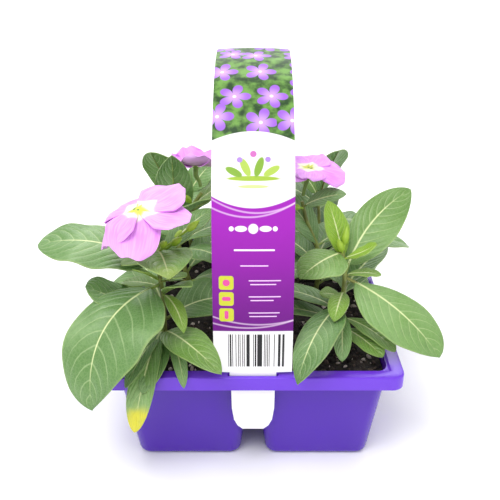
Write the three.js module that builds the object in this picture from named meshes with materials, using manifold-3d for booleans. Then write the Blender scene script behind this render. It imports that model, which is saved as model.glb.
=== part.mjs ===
// Potted Madagascar periwinkle: six seedlings in a two by three cell tray, with a strip label arched over them.
// Millimetres, +Z up. The origin is the middle of the tray's base, and the front of the tray faces -Y.
import * as THREE from "three";
import { mergeVertices } from "three/addons/utils/BufferGeometryUtils.js";
import Module from "manifold-3d";

const wasm = await Module();
wasm.setup();

// Tray
const rim = { width: 144, depth: 180, top: 55, lip: 7, flange: 6, corner: 6, edge: 0.8 };
const wall = 1.2;
const bodyTop = { x: 65.1, y: 83.1 };
const bodyBase = { x: 58.5, y: 78.3 };
const rowEdge = 28;
const cellGap = { top: 1.6, base: 6.4 };
const cell = { corner: 6, footRadius: 3.5 };
const dividerTop = 48.6;
const drain = { radius: 4.5, smallRadius: 2.5, smallOffset: 15 };
const slot = { width: 24, depth: 1.9, y: 87.3 };

// Soil
const soil = { clearance: 0.3, top: 49.8, lump: 0.7 };
const hole = { clearance: 0.35, floor: 31 };

// Strip label: a path in the YZ plane from the front tongue to the top, mirrored to the back
const strip = { thickness: 0.8, bow: 0.8, lean: 0.2 };
const stripHalfPath = [
  { y: -86.9, z: 23.4, width: 10.3 },
  { y: -87, z: 25.5, width: 15 },
  { y: -87.1, z: 29, width: 18.4 },
  { y: -87.2, z: 36, width: 20.4 },
  { y: -87.3, z: 47.8, width: 20.8 },
  { y: -87.3, z: 53.2, width: 25.6 },
  { y: -87.3, z: 53.4, width: 22 },
  { y: -87.4, z: 56.8, width: 22 },
  { y: -87.4, z: 57, width: 36.6 },
  { y: -87.6, z: 72, width: 36.6 },
  { y: -87.2, z: 90, width: 36.6 },
  { y: -85.4, z: 108, width: 36.6 },
  { y: -81.6, z: 126, width: 36.6 },
  { y: -75, z: 144, width: 36.6 },
  { y: -64.6, z: 160, width: 36.6 },
  { y: -51, z: 173, width: 36.6 },
  { y: -35.4, z: 182.6, width: 36.6 },
  { y: -18, z: 189, width: 36.6 },
  { y: 0, z: 191.2, width: 36.6 },
];

// Leaves: the stations along a blade, and its half width at each as a share of the whole
const leafStations = { broad: [0, 0.1, 0.27, 0.48, 0.7, 0.88, 1], narrow: [0, 0.12, 0.42, 0.78, 1] };
const leafShape = { petiole: 0.09, petioleHalf: 0.9, tipHalf: 0.5, thickness: 0.8, fold: 0.14, belly: 0.58, point: 1.55, narrow: 17 };
const stemSides = 7;

// Edges shorter than this are closed up
const finest = 0.03;

// Flowers
const petal = { thickness: 0.7, rows: 4, columns: 4, tilt: 1.1, curl: 0.9, round: 2.4 };
const throat = { radius: 1.4, mouth: 2.4, calyx: 2.2, seat: 3 };

// Each seedling: its stem's points, its leaves by the height they leave the stem and the place of their tips,
// its buds, and its flower where it has one
const seedlings = [
  {
    name: "seedling_front_left",
    stem: [[-42, -57, 32], [-42, -57, 50], [-45, -58, 62], [-44, -60, 80], [-45, -62, 96], [-45, -63, 108]],
    leaves: [
      { at: 99, tip: [-102, -60, 110], rise: 8, width: 31, roll: -12, lop: -0.06, belly: 0.58, skew: 0.1, fold: -0.06 },
      { at: 90, tip: [-74, -101, 45], rise: 16, width: 44, roll: -4, sway: 4, lop: -0.22, belly: 0.46, skew: 0.1, fold: 0.08 },
      { at: 108, tip: [-36, -94, 109], rise: 3, width: 27, belly: 0.45, point: 1.8 },
      { at: 61, tip: [-14, -104, 67], rise: 7, width: 18, roll: 10, sway: 2, belly: 0.5 },
      { at: 60, tip: [-59, -95, 53], rise: 8, width: 8, sway: -2 },
      { at: 62, tip: [-51, -98, 52], rise: 5, width: 12, sway: -3 },
      { at: 64, tip: [-55, -103, 34], rise: 13, width: 13, sway: -2, belly: 0.6 },
      { at: 61, tip: [-32, -95, 53], rise: 6, width: 7, sway: -1 },
      { at: 84, tip: [-28, -80, 98], rise: 2, width: 12, belly: 0.5 },
      { at: 84, tip: [-32, -84, 76], rise: 3, width: 8, sway: -1, belly: 0.5 },
      { at: 78, tip: [-79, -70, 93], rise: -3, width: 20, roll: -15, belly: 0.66 },
      { at: 88, tip: [-65, -52, 86], rise: 1, width: 12 },
      { at: 102, tip: [-60, -76, 107], rise: 1, width: 10 },
      { at: 91, tip: [-31, -76, 101], rise: 1, width: 9 },
      { at: 102, tip: [-20, -34, 118], rise: 3, width: 16 },
      { at: 68, tip: [-9, -42, 71], rise: 6, width: 28, roll: 15 },
      { at: 76, tip: [-62, -24, 84], rise: 5, width: 16 },
      { at: 92, tip: [-57, -72, 103], rise: 1, width: 9 },
    ],
    buds: [
      { at: 105, tip: [-33, -46, 113] },
      { at: 106, tip: [-47, -56, 116] },
    ],
    flower: {
      centre: [-50, -79, 135], facing: [0, -0.23, 1], angles: [-97, -8, 44, 138, 212], width: 23,
      droop: [11, 2, -2, 7, 13], reach: [20, 23, 24, 16, 18], tilt: [0, 0, 0, 0, -7],
    },
  },
  {
    name: "seedling_front_right",
    stem: [[46, -56, 32], [46, -56, 50], [44, -57, 67], [45, -58, 91], [43, -58, 106]],
    leaves: [
      { at: 93, tip: [80, -27, 126], rise: 2, width: 23, roll: 28, sway: -5, lop: 0.22, belly: 0.48, skew: -0.02, fold: 0.08 },
      { at: 100, tip: [36, -46, 127], rise: 1, width: 14, belly: 0.52 },
      { at: 102, tip: [58, -64, 112], rise: -1, width: 10, roll: 10 },
      { at: 105, tip: [22, -70, 97], rise: 3, width: 21, roll: -20, lop: -0.2, belly: 0.48, skew: 0.12 },
      { at: 86, tip: [69, -30, 97], rise: 2, width: 20, roll: 15, lop: -0.4 },
      { at: 92, tip: [91, -74, 56], rise: 5, width: 28, roll: 32, sway: -2, lop: 0.25, belly: 0.53, skew: -0.13 },
      { at: 93, tip: [62, -60, 94], rise: 1, width: 8 },
      { at: 77, tip: [20, -102, 60], rise: 5, width: 21, roll: 12, sway: 1, lop: -0.25, belly: 0.45 },
      { at: 74, tip: [42, -85, 61], rise: 3, width: 9 },
      { at: 69, tip: [69, -75, 60], rise: 3, width: 13 },
      { at: 63, tip: [62, -80, 60], rise: 2, width: 13 },
      { at: 84, tip: [38, -79, 79], rise: 2, width: 10, belly: 0.5 },
      { at: 80, tip: [33, -57, 82], rise: 1, width: 11 },
      { at: 72, tip: [10, -38, 75], rise: 3, width: 16 },
      { at: 66, tip: [9, -48, 70], rise: 2, width: 14 },
      { at: 80, tip: [59, -20, 84], rise: 4, width: 22 },
    ],
    buds: [
      { at: 104, tip: [45, -54, 117] },
      { at: 104, tip: [40, -62, 114] },
    ],
  },
  {
    name: "seedling_middle_left",
    stem: [[-34, 0, 32], [-34, 0, 50], [-40, -2, 72], [-43, -2, 90], [-36, -2, 104], [-28, -1, 115]],
    leaves: [
      { at: 86, tip: [-66, 6, 94], rise: 5, width: 24 },
      { at: 90, tip: [-42, -14, 140], rise: 2, width: 21, belly: 0.5, point: 1.75 },
      { at: 104, tip: [-12, 10, 118], rise: 2, width: 13 },
      { at: 98, tip: [-21, -24, 120], rise: 2, width: 17, belly: 0.5 },
      { at: 74, tip: [-88, 4, 80], rise: 8, width: 28 },
      { at: 60, tip: [-80, -16, 62], rise: 6, width: 24 },
      { at: 84, tip: [-3, 8, 92], rise: 5, width: 26 },
      { at: 60, tip: [0, -12, 66], rise: 5, width: 22 },
      { at: 86, tip: [-56, 36, 96], rise: 5, width: 24 },
      { at: 66, tip: [-14, 36, 76], rise: 5, width: 22 },
      { at: 80, tip: [-12, -32, 86], rise: 4, width: 25 },
    ],
    buds: [
      { at: 108, tip: [-37, -10, 117] },
    ],
    flower: {
      centre: [-31, 2, 130], facing: [0.05, 0.12, 1], angles: [-75, -15, 45, 115, 190], width: 19,
      droop: [-8, -8, -8, -7, -5], reach: [17, 17, 17, 16, 13], tilt: [0, 0, 0, 0, 0],
    },
  },
  {
    name: "seedling_middle_right",
    stem: [[36, 0, 32], [36, 0, 50], [38, -2, 66], [37, -3, 82], [30, -2, 98], [27, -1, 110]],
    leaves: [
      { at: 82, tip: [15, 5, 112], rise: 4, width: 19, roll: -25 },
      { at: 107, tip: [50, -9, 117], rise: 2, width: 12, roll: 30, belly: 0.5 },
      { at: 78, tip: [54, 40, 80], rise: 3, width: 22 },
      { at: 76, tip: [88, 2, 82], rise: 8, width: 26, lop: 0.2, belly: 0.66 },
      { at: 58, tip: [72, 16, 58], rise: 6, width: 22 },
      { at: 62, tip: [5, 16, 66], rise: 5, width: 22 },
      { at: 70, tip: [14, 30, 76], rise: 4, width: 20 },
      { at: 105, tip: [8, -8, 114], rise: 1, width: 14, roll: -20 },
      { at: 64, tip: [62, -24, 66], rise: 5, width: 20 },
      { at: 84, tip: [64, 12, 88], rise: 3, width: 18 },
      { at: 66, tip: [14, -28, 76], rise: 4, width: 24 },
    ],
    buds: [
      { at: 106, tip: [20, -11, 111] },
    ],
    flower: {
      centre: [30, 0, 129], facing: [0.02, -0.12, 1], angles: [-98, -5, 67, 139, 211], width: 19,
      droop: [0, 4, -1, 0, 1], reach: [14, 20, 17, 17, 18], tilt: [0, -5, 0, 0, 0],
    },
  },
  {
    name: "seedling_back_left",
    stem: [[-40, 57, 32], [-40, 57, 50], [-42, 58, 72], [-41, 58, 98]],
    leaves: [
      { at: 66, tip: [-95, 58, 70], rise: 7, width: 28 },
      { at: 82, tip: [-56, 104, 50], rise: 14, width: 32 },
      { at: 62, tip: [-25, 103, 62], rise: 5, width: 20 },
      { at: 62, tip: [-3, 62, 66], rise: 5, width: 23 },
      { at: 86, tip: [-12, 74, 98], rise: 4, width: 22 },
      { at: 70, tip: [-85, 90, 62], rise: 8, width: 25 },
      { at: 84, tip: [-61, 42, 125], rise: 2, width: 22, roll: 40, sway: 3, belly: 0.6 },
      { at: 92, tip: [-26, 62, 112], rise: 2, width: 18, roll: 35 },
      { at: 88, tip: [-72, 44, 86], rise: 4, width: 20 },
      { at: 92, tip: [-36, 30, 96], rise: 3, width: 18 },
      { at: 64, tip: [-66, 34, 60], rise: 4, width: 18 },
    ],
    buds: [
      { at: 96, tip: [-43, 62, 106] },
    ],
  },
  {
    name: "seedling_back_right",
    stem: [[42, 56, 32], [42, 56, 50], [43, 57, 74], [41, 57, 96]],
    leaves: [
      { at: 64, tip: [101, 66, 54], rise: 7, width: 27 },
      { at: 80, tip: [44, 104, 50], rise: 14, width: 32 },
      { at: 66, tip: [88, 88, 52], rise: 6, width: 26 },
      { at: 60, tip: [22, 102, 58], rise: 6, width: 15 },
      { at: 62, tip: [5, 46, 68], rise: 5, width: 22 },
      { at: 84, tip: [12, 74, 94], rise: 4, width: 22 },
      { at: 88, tip: [51, 42, 126], rise: 2, width: 22, lop: -0.2, belly: 0.66 },
      { at: 90, tip: [30, 70, 104], rise: 2, width: 14 },
      { at: 72, tip: [80, 66, 68], rise: 4, width: 24 },
      { at: 86, tip: [16, 38, 92], rise: 3, width: 16 },
      { at: 60, tip: [72, 28, 68], rise: 3, width: 17 },
    ],
    buds: [
      { at: 94, tip: [44, 62, 104] },
    ],
  },
];

const materials = {
  tray: new THREE.MeshStandardMaterial({ color: "#6b3cc8", roughness: 0.35, metalness: 0 }),
  label: new THREE.MeshStandardMaterial({ color: "#b031c4", roughness: 0.4, metalness: 0 }),
  soil: new THREE.MeshStandardMaterial({ color: "#241d1a", roughness: 1, metalness: 0 }),
  leaf: new THREE.MeshStandardMaterial({ color: "#7fa35c", roughness: 0.5, metalness: 0 }),
  petal: new THREE.MeshStandardMaterial({ color: "#e9aef2", roughness: 0.6, metalness: 0 }),
};

const root = new THREE.Group();
const vec = (p) => new THREE.Vector3(...p);
const mix = (a, b, t) => a + (b - a) * t;

// Closed meshes to solids and back
function solidOf(geometry) {
  geometry.deleteAttribute("normal");
  geometry.deleteAttribute("uv");
  const merged = mergeVertices(geometry, 1e-4);
  const solid = new wasm.Manifold(
    new wasm.Mesh({
      numProp: 3,
      vertProperties: merged.attributes.position.array,
      triVerts: new Uint32Array(merged.index.array),
    }),
  );
  return solid;
}

function addMesh(name, solid, material) {
  const { vertProperties, triVerts } = solid.simplify(finest).getMesh();
  const geometry = new THREE.BufferGeometry();
  geometry.setAttribute("position", new THREE.BufferAttribute(vertProperties, 3));
  geometry.setIndex(new THREE.BufferAttribute(triVerts, 1));
  geometry.computeVertexNormals();
  const mesh = new THREE.Mesh(geometry, material);
  mesh.name = name;
  root.add(mesh);
}

const fuse = (solids) => solids.reduce((whole, piece) => whole.add(piece));

function indexed(points, triangles) {
  const geometry = new THREE.BufferGeometry();
  geometry.setAttribute("position", new THREE.Float32BufferAttribute(points.flatMap((p) => p.toArray()), 3));
  geometry.setIndex(triangles.flat());
  return geometry;
}

// A solid through rings of equal count, each counter-clockwise seen from the end that the rings run towards
function loft(rings) {
  const count = rings[0].length;
  const points = rings.flat();
  const triangles = [];
  for (let i = 0; i + 1 < rings.length; i++) {
    for (let j = 0; j < count; j++) {
      const a = i * count + j;
      const b = i * count + ((j + 1) % count);
      triangles.push([a, b, b + count], [a, b + count, a + count]);
    }
  }
  const middle = (ring) => ring.reduce((sum, p) => sum.add(p), new THREE.Vector3()).divideScalar(count);
  const start = points.push(middle(rings[0])) - 1;
  const end = points.push(middle(rings.at(-1))) - 1;
  const last = (rings.length - 1) * count;
  for (let j = 0; j < count; j++) {
    const next = (j + 1) % count;
    triangles.push([start, next, j], [end, last + j, last + next]);
  }
  return solidOf(indexed(points, triangles));
}

// A rounded rectangle at height z
function rectangle(x0, x1, y0, y1, radius, z) {
  const corners = [[x1, y1, 0], [x0, y1, 1], [x0, y0, 2], [x1, y0, 3]];
  const steps = 2;
  const ring = [];
  for (const [x, y, quarter] of corners) {
    const cx = x - Math.sign(x - (x0 + x1) / 2) * radius;
    const cy = y - Math.sign(y - (y0 + y1) / 2) * radius;
    for (let i = 0; i <= steps; i++) {
      const angle = (quarter + i / steps) * (Math.PI / 2);
      ring.push(new THREE.Vector3(cx + radius * Math.cos(angle), cy + radius * Math.sin(angle), z));
    }
  }
  return ring;
}

const centred = (x, y, radius, z) => rectangle(-x, x, -y, y, radius, z);

function drum(x, y, radius, z0, z1, sides) {
  const geometry = new THREE.CylinderGeometry(radius, radius, z1 - z0, sides);
  geometry.rotateX(Math.PI / 2).translate(x, y, (z0 + z1) / 2);
  return solidOf(geometry);
}

function block(x, y, z, cx, cy, cz) {
  return solidOf(new THREE.BoxGeometry(x, y, z).translate(cx, cy, cz));
}

// A thin solid over rows of points with their normals, split into the same triangles on both faces
function sheet(rows, thickness) {
  const columns = rows[0].length;
  const flat = rows.flat();
  const side = (s) => flat.map(({ p, n }) => p.clone().addScaledVector(n, (s * thickness) / 2));
  const points = [...side(1), ...side(-1)];
  const under = flat.length;
  const triangles = [];
  for (let i = 0; i + 1 < rows.length; i++) {
    for (let j = 0; j + 1 < columns; j++) {
      const a = i * columns + j;
      const b = a + 1;
      const c = b + columns;
      const d = a + columns;
      triangles.push([a, b, c], [a, c, d]);
      triangles.push([under + a, under + c, under + b], [under + a, under + d, under + c]);
    }
    const left = i * columns;
    const right = left + columns - 1;
    triangles.push([right, under + right, under + right + columns], [right, under + right + columns, right + columns]);
    triangles.push([left, under + left + columns, under + left], [left, left + columns, under + left + columns]);
  }
  const last = (rows.length - 1) * columns;
  for (let j = 0; j + 1 < columns; j++) {
    triangles.push([j, under + j + 1, j + 1], [j, under + j, under + j + 1]);
    const k = last + j;
    triangles.push([k, k + 1, under + k + 1], [k, under + k + 1, under + k]);
  }
  return solidOf(indexed(points, triangles));
}

// A round tube through points, with a radius for each
function tube(points, radii, sides) {
  const rings = points.map((p, i) => {
    const before = points[Math.max(i - 1, 0)];
    const after = points[Math.min(i + 1, points.length - 1)];
    const along = after.clone().sub(before).normalize();
    const across = new THREE.Vector3(0, 1, 0).cross(along).normalize();
    if (across.lengthSq() < 0.5) across.set(1, 0, 0);
    const other = along.clone().cross(across);
    return Array.from({ length: sides }, (_, j) => {
      const angle = (j / sides) * 2 * Math.PI;
      return p
        .clone()
        .addScaledVector(across, radii[i] * Math.cos(angle))
        .addScaledVector(other, radii[i] * Math.sin(angle));
    });
  });
  return loft(rings);
}

// Cells: the walls lean in towards the base, and the gaps between cells widen with them
const cells = [];
for (const [row, rowName] of ["front", "middle", "back"].entries()) {
  for (const [sign, sideName] of [[-1, "left"], [1, "right"]]) {
    cells.push({ row: row - 1, sign, name: rowName + "_" + sideName });
  }
}

function cellSpan(low, high, inset) {
  return [Math.min(low, high) + inset, Math.max(low, high) - inset];
}

function cellRing(cellPlace, z, inset, radius) {
  const t = z / (rim.top - rim.lip);
  const gap = mix(cellGap.base, cellGap.top, t);
  const outerX = mix(bodyBase.x, bodyTop.x, t);
  const outerY = mix(bodyBase.y, bodyTop.y, t);
  const [x0, x1] = cellSpan(cellPlace.sign * gap, cellPlace.sign * outerX, inset);
  const near = cellPlace.row === 0 ? -(rowEdge - gap) : cellPlace.row * (rowEdge + gap);
  const far = cellPlace.row === 0 ? rowEdge - gap : cellPlace.row * outerY;
  const [y0, y1] = cellSpan(near, far, inset);
  return rectangle(x0, x1, y0, y1, radius, z);
}

function cellSolid(cellPlace, floor, top, inset) {
  const foot = cell.footRadius;
  const radius = cell.corner - inset;
  return loft([
    cellRing(cellPlace, floor, inset + foot * 0.7, radius),
    cellRing(cellPlace, floor + foot * 0.3, inset + foot * 0.2, radius),
    cellRing(cellPlace, floor + foot, inset, radius),
    cellRing(cellPlace, top, inset, radius),
  ]);
}

function cellMiddle(cellPlace) {
  const x = (cellPlace.sign * (cellGap.base + bodyBase.x)) / 2;
  const y = (cellPlace.row * (rowEdge + cellGap.base + bodyBase.y)) / 2;
  return { x, y };
}

function makeTray() {
  const outX = rim.width / 2;
  const outY = rim.depth / 2;
  const lipBottom = rim.top - rim.lip;
  const under = rim.top - wall;
  const inner = { x: outX - rim.flange, y: outY - rim.flange };
  const rimBlock = loft([
    centred(outX, outY, rim.corner, lipBottom),
    centred(outX, outY, rim.corner, rim.top - rim.edge),
    centred(outX - rim.edge, outY - rim.edge, rim.corner - rim.edge, rim.top),
  ]);
  const groove = loft([
    centred(outX - wall, outY - wall, rim.corner - wall, lipBottom - 1),
    centred(outX - wall, outY - wall, rim.corner - wall, under),
  ]);
  const collar = loft([
    centred(bodyTop.x, bodyTop.y, cell.corner, dividerTop - wall),
    centred(bodyTop.x + 0.8, bodyTop.y + 0.8, cell.corner, under + 0.2),
  ]);
  const recess = loft([
    centred(bodyTop.x - wall, bodyTop.y - wall, cell.corner - wall, dividerTop),
    centred(inner.x - 1, inner.y - 1, cell.corner - wall, rim.top - 1),
    centred(inner.x, inner.y, cell.corner - wall + 1, rim.top + 0.2),
  ]);
  let tray = rimBlock.subtract(groove).add(collar);
  for (const place of cells) tray = tray.add(cellSolid(place, 0, lipBottom, 0));
  tray = tray.subtract(recess);
  for (const place of cells) {
    const { x, y } = cellMiddle(place);
    tray = tray.subtract(cellSolid(place, wall, dividerTop + 0.2, wall));
    tray = tray.subtract(drum(x, y, drain.radius, -1, wall + 1, 12));
    for (const sign of [-1, 1]) {
      tray = tray.subtract(drum(x + sign * drain.smallOffset, y, drain.smallRadius, -1, wall + 1, 8));
    }
  }
  for (const sign of [-1, 1]) {
    tray = tray.subtract(block(slot.width, slot.depth, 6, 0, sign * slot.y, rim.top - 1));
  }
  addMesh("tray", tray, materials.tray);
}

// Soil: a plug in each cell, level with its neighbours over the dividers, with a plain hole for the stem
function lumps(x, y) {
  const coarse = Math.sin(x * 0.61 + 1.3) * Math.cos(y * 0.53 - 0.4);
  const fine = Math.sin(x * 1.37 - y * 0.9) * Math.cos(y * 1.21 + x * 0.4);
  return soil.lump * (0.6 * coarse + 0.4 * fine);
}

function makeSoil(place, stemFoot, stemRadius) {
  const inset = wall + soil.clearance;
  const floor = wall + soil.clearance;
  const overDivider = dividerTop + soil.clearance;
  const plug = cellSolid(place, floor, dividerTop + 0.5, inset);
  const halfGap = soil.clearance / 2;
  const edgeX = bodyTop.x - wall - soil.clearance;
  const edgeY = bodyTop.y - wall - soil.clearance;
  const [x0, x1] = cellSpan(place.sign * halfGap, place.sign * edgeX, 0);
  const near = place.row === 0 ? -(rowEdge - halfGap) : place.row * (rowEdge + halfGap);
  const far = place.row === 0 ? rowEdge - halfGap : place.row * edgeY;
  const [y0, y1] = cellSpan(near, far, 0);
  const radius = cell.corner - wall;
  const rings = [rectangle(x0, x1, y0, y1, radius, overDivider)];
  const middle = new THREE.Vector3((x0 + x1) / 2, (y0 + y1) / 2, 0);
  for (const share of [1, 0.84, 0.6, 0.36, 0.14]) {
    const ring = rectangle(x0, x1, y0, y1, radius, 0).map((p) => {
      const q = p.clone().sub(middle).multiplyScalar(share).add(middle);
      const crown = share === 1 ? 0 : 0.5 + lumps(q.x, q.y);
      q.z = soil.top + crown;
      return q;
    });
    rings.push(ring);
  }
  const foot = vec(stemFoot);
  const bore = drum(foot.x, foot.y, stemRadius + hole.clearance, hole.floor, rim.top, 10);
  addMesh("soil_" + place.name, plug.add(loft(rings)).subtract(bore), materials.soil);
}

// The strip label: tongue, barbs under the flange, neck in the slot, and the arch
function makeLabel() {
  const front = stripHalfPath;
  const back = front.slice(0, -1).reverse().map((s) => ({ ...s, y: -s.y }));
  const path = [...front, ...back];
  const topZ = front.at(-1).z;
  const rows = path.map((s, i) => {
    const before = path[Math.max(i - 1, 0)];
    const after = path[Math.min(i + 1, path.length - 1)];
    const along = new THREE.Vector3(0, after.y - before.y, after.z - before.z).normalize();
    const n = new THREE.Vector3(1, 0, 0).cross(along);
    const height = Math.max(0, (s.z - rim.top) / (topZ - rim.top));
    const bow = strip.bow * Math.min(1, height * 3);
    return [-1, 0, 1].map((u) => {
      const p = new THREE.Vector3((u * s.width) / 2 + strip.lean * height, s.y, s.z);
      return { p: p.addScaledVector(n, bow * u * u), n };
    });
  });
  addMesh("handle_label", sheet(rows, strip.thickness), materials.label);
}

// A leaf blade from the stem to its tip, arched by its rise, folded a little along the midrib
function leafHalfWidth(t, belly, point) {
  const s = (t - leafShape.petiole) / (1 - leafShape.petiole);
  if (s <= 0) return 0;
  return Math.pow(s / belly, point * belly) * Math.pow((1 - s) / (1 - belly), point * (1 - belly));
}

// A blade between the stem and its tip: rise and sway arch it, lop and skew make its two halves differ
function makeLeaf(from, leaf) {
  const { tip, rise, width, roll = 0, sway = 0, lop = 0, skew = 0, belly, fold, point } = { ...leafShape, ...leaf };
  const to = vec(tip);
  const chord = to.clone().sub(from).normalize();
  const across = chord.clone().cross(new THREE.Vector3(0, 0, 1)).normalize();
  across.applyAxisAngle(chord, THREE.MathUtils.degToRad(roll));
  const up = across.clone().cross(chord);
  const bend = from.clone().lerp(to, 0.5).addScaledVector(up, 2 * rise).addScaledVector(across, 2 * sway);
  const midrib = new THREE.QuadraticBezierCurve3(from, bend, to);
  const stations = width < leafShape.narrow ? leafStations.narrow : leafStations.broad;
  const rows = stations.map((t) => {
    const p = midrib.getPoint(t);
    const along = midrib.getTangent(t);
    const n = across.clone().cross(along).normalize();
    const side = along.clone().cross(n);
    const least = t < 0.5 ? leafShape.petioleHalf : leafShape.tipHalf;
    return [-1, 0, 1].map((u) => {
      const half = Math.max(least, (width / 2) * (1 + u * lop) * leafHalfWidth(t, belly + u * skew, point));
      return { p: p.clone().addScaledVector(side, u * half).addScaledVector(n, Math.abs(u) * half * fold), n };
    });
  });
  return sheet(rows, leafShape.thickness);
}

// A pointed bud on a short stalk
function makeBud(from, tip) {
  const to = vec(tip);
  const points = [0, 0.35, 0.55, 0.75, 1].map((t) => from.clone().lerp(to, t));
  return tube(points, [0.8, 0.8, 1.9, 1.6, 0.4], 6);
}

// The five petals and the tube of one flower, and the cup on the plant that the tube stands in
function makeFlower(name, stemTop, flower) {
  const centre = vec(flower.centre);
  const facing = vec(flower.facing).normalize();
  const right = new THREE.Vector3(1, 0, 0).addScaledVector(facing, -facing.x).normalize();
  const ahead = facing.clone().cross(right);
  const pieces = [];
  for (let k = 0; k < 5; k++) {
    const angle = THREE.MathUtils.degToRad(flower.angles[k]);
    const out = right.clone().multiplyScalar(Math.cos(angle)).addScaledVector(ahead, Math.sin(angle));
    const side = out.clone().cross(facing);
    const rows = [];
    for (let i = 0; i <= petal.rows; i++) {
      const t = i / petal.rows;
      const half = (flower.width / 2) * petalHalfWidth(t);
      const fall = flower.droop[k] * t * t;
      const base = centre.clone().addScaledVector(out, 0.6 + flower.reach[k] * t).addScaledVector(facing, -fall);
      const row = [];
      for (let j = 0; j <= petal.columns; j++) {
        const u = (2 * j) / petal.columns - 1;
        const p = base.clone().addScaledVector(side, u * half);
        p.addScaledVector(facing, (petal.tilt + flower.tilt[k]) * u * t - petal.curl * u * u * t);
        p.addScaledVector(out, -petal.round * u * u * t);
        row.push({ p, n: facing });
      }
      rows.push(row);
    }
    pieces.push(sheet(rows, petal.thickness));
  }
  const down = stemTop.clone().sub(centre).normalize();
  const seat = stemTop.clone().addScaledVector(down, -throat.seat - 0.3);
  const neck = centre.clone().addScaledVector(facing, -6);
  const clear = seat.clone().addScaledVector(down, -throat.seat);
  const tubePoints = [seat, clear, neck, centre.clone().addScaledVector(facing, 0.2)];
  pieces.push(tube(tubePoints, [1, 1, throat.radius, throat.mouth], 8));
  addMesh(name, fuse(pieces.reverse()), materials.petal);
}

function petalHalfWidth(t) {
  if (t < 0.05) return 0.16;
  return Math.min(1, 0.16 + 1.5 * Math.pow(t, 0.9)) * Math.sqrt(Math.max(0.12, 1 - Math.pow(t, 4) * 0.88));
}

// A seedling: stem, leaves and buds fused in one solid, with its flower beside it
function pointOnStem(points, height) {
  const top = points.findIndex((p) => p.z >= height);
  const b = points[Math.max(top, 1)];
  const a = points[Math.max(top, 1) - 1];
  return a.clone().lerp(b, (height - a.z) / (b.z - a.z));
}

const stemRadius = { foot: 1.8, top: 1 };

function makeSeedling(seedling) {
  const points = seedling.stem.map(vec);
  const radii = points.map((_, i) => mix(stemRadius.foot, stemRadius.top, i / (points.length - 1)));
  const pieces = [tube(points, radii, stemSides)];
  for (const leaf of seedling.leaves) pieces.push(makeLeaf(pointOnStem(points, leaf.at), leaf));
  for (const bud of seedling.buds) pieces.push(makeBud(pointOnStem(points, bud.at), bud.tip));
  let whole = fuse(pieces);
  if (seedling.flower) {
    const top = points.at(-1);
    const towards = vec(seedling.flower.centre).sub(top).normalize();
    const cup = [-1, 1, throat.seat + 1.6].map((d) => top.clone().addScaledVector(towards, d));
    const bore = [throat.seat, throat.seat + 4].map((d) => top.clone().addScaledVector(towards, d));
    whole = whole.add(tube(cup, [1.2, throat.calyx, throat.calyx], 8));
    whole = whole.subtract(tube(bore, [1.4, 1.4], 8));
    makeFlower(seedling.name.replace("seedling", "flower"), top, seedling.flower);
  }
  addMesh(seedling.name, whole, materials.leaf);
}

makeTray();
for (const place of cells) {
  const seedling = seedlings.find((s) => s.name.endsWith(place.name));
  makeSoil(place, seedling.stem[0], stemRadius.foot);
}
makeLabel();
for (const seedling of seedlings) makeSeedling(seedling);

export default root;
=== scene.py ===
import math
import random

import bmesh
import bpy
from mathutils import Matrix, Vector


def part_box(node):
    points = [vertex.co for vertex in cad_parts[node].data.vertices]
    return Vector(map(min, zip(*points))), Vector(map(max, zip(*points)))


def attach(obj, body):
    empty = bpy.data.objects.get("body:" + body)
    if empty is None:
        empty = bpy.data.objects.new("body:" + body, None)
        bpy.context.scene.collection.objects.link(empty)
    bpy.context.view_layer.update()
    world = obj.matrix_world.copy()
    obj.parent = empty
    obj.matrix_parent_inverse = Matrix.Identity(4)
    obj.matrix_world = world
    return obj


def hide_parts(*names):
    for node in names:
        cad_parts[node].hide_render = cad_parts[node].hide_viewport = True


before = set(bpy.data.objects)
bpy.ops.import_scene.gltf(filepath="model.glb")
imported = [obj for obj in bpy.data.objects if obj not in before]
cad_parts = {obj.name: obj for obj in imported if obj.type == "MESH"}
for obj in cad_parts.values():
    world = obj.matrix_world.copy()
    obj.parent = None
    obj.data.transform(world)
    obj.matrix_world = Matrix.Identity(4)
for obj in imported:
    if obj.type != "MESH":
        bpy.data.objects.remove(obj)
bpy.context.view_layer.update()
bpy.ops.object.select_all(action="DESELECT")
mm = 0.001

# Camera: where the photograph was taken from
cameraSetup = {"place": (0, -363.4, 245.3), "pitch": 24.7, "lens": 50.4, "shift": (-0.006, 0.006)}
bpy.ops.object.camera_add(location=[c * mm for c in cameraSetup["place"]],
                          rotation=(math.radians(90 - cameraSetup["pitch"]), 0, 0))
camera = bpy.context.object
camera.name = "photoCamera"
camera.data.lens = cameraSetup["lens"]
camera.data.sensor_width = 36
camera.data.shift_x, camera.data.shift_y = cameraSetup["shift"]
camera.data.clip_start = 0.01
bpy.context.scene.camera = camera
print("camera ready")


# Small helpers for working with one object at a time
def useOnly(*pieces):
    bpy.ops.object.select_all(action="DESELECT")
    for piece in pieces:
        piece.select_set(True)
    bpy.context.view_layer.objects.active = pieces[0]


def copyOf(piece, name):
    twin = piece.copy()
    twin.data = piece.data.copy()
    twin.name = name
    bpy.context.collection.objects.link(twin)
    return twin


def settle(*pieces):
    useOnly(*pieces)
    bpy.ops.object.transform_apply(location=True, rotation=True, scale=True)


def applyAll(piece):
    useOnly(piece)
    for modifier in list(piece.modifiers):
        bpy.ops.object.modifier_apply(modifier=modifier.name)


def joinAll(pieces, name):
    useOnly(*pieces)
    bpy.ops.object.join()
    joined = bpy.context.object
    joined.name = name
    joined.data.name = name
    return joined


def remove(piece):
    bpy.data.objects.remove(piece, do_unlink=True)


def openEdit(piece):
    useOnly(piece)
    bpy.ops.object.mode_set(mode="EDIT")


def closeEdit():
    bpy.ops.object.mode_set(mode="OBJECT")


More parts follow.
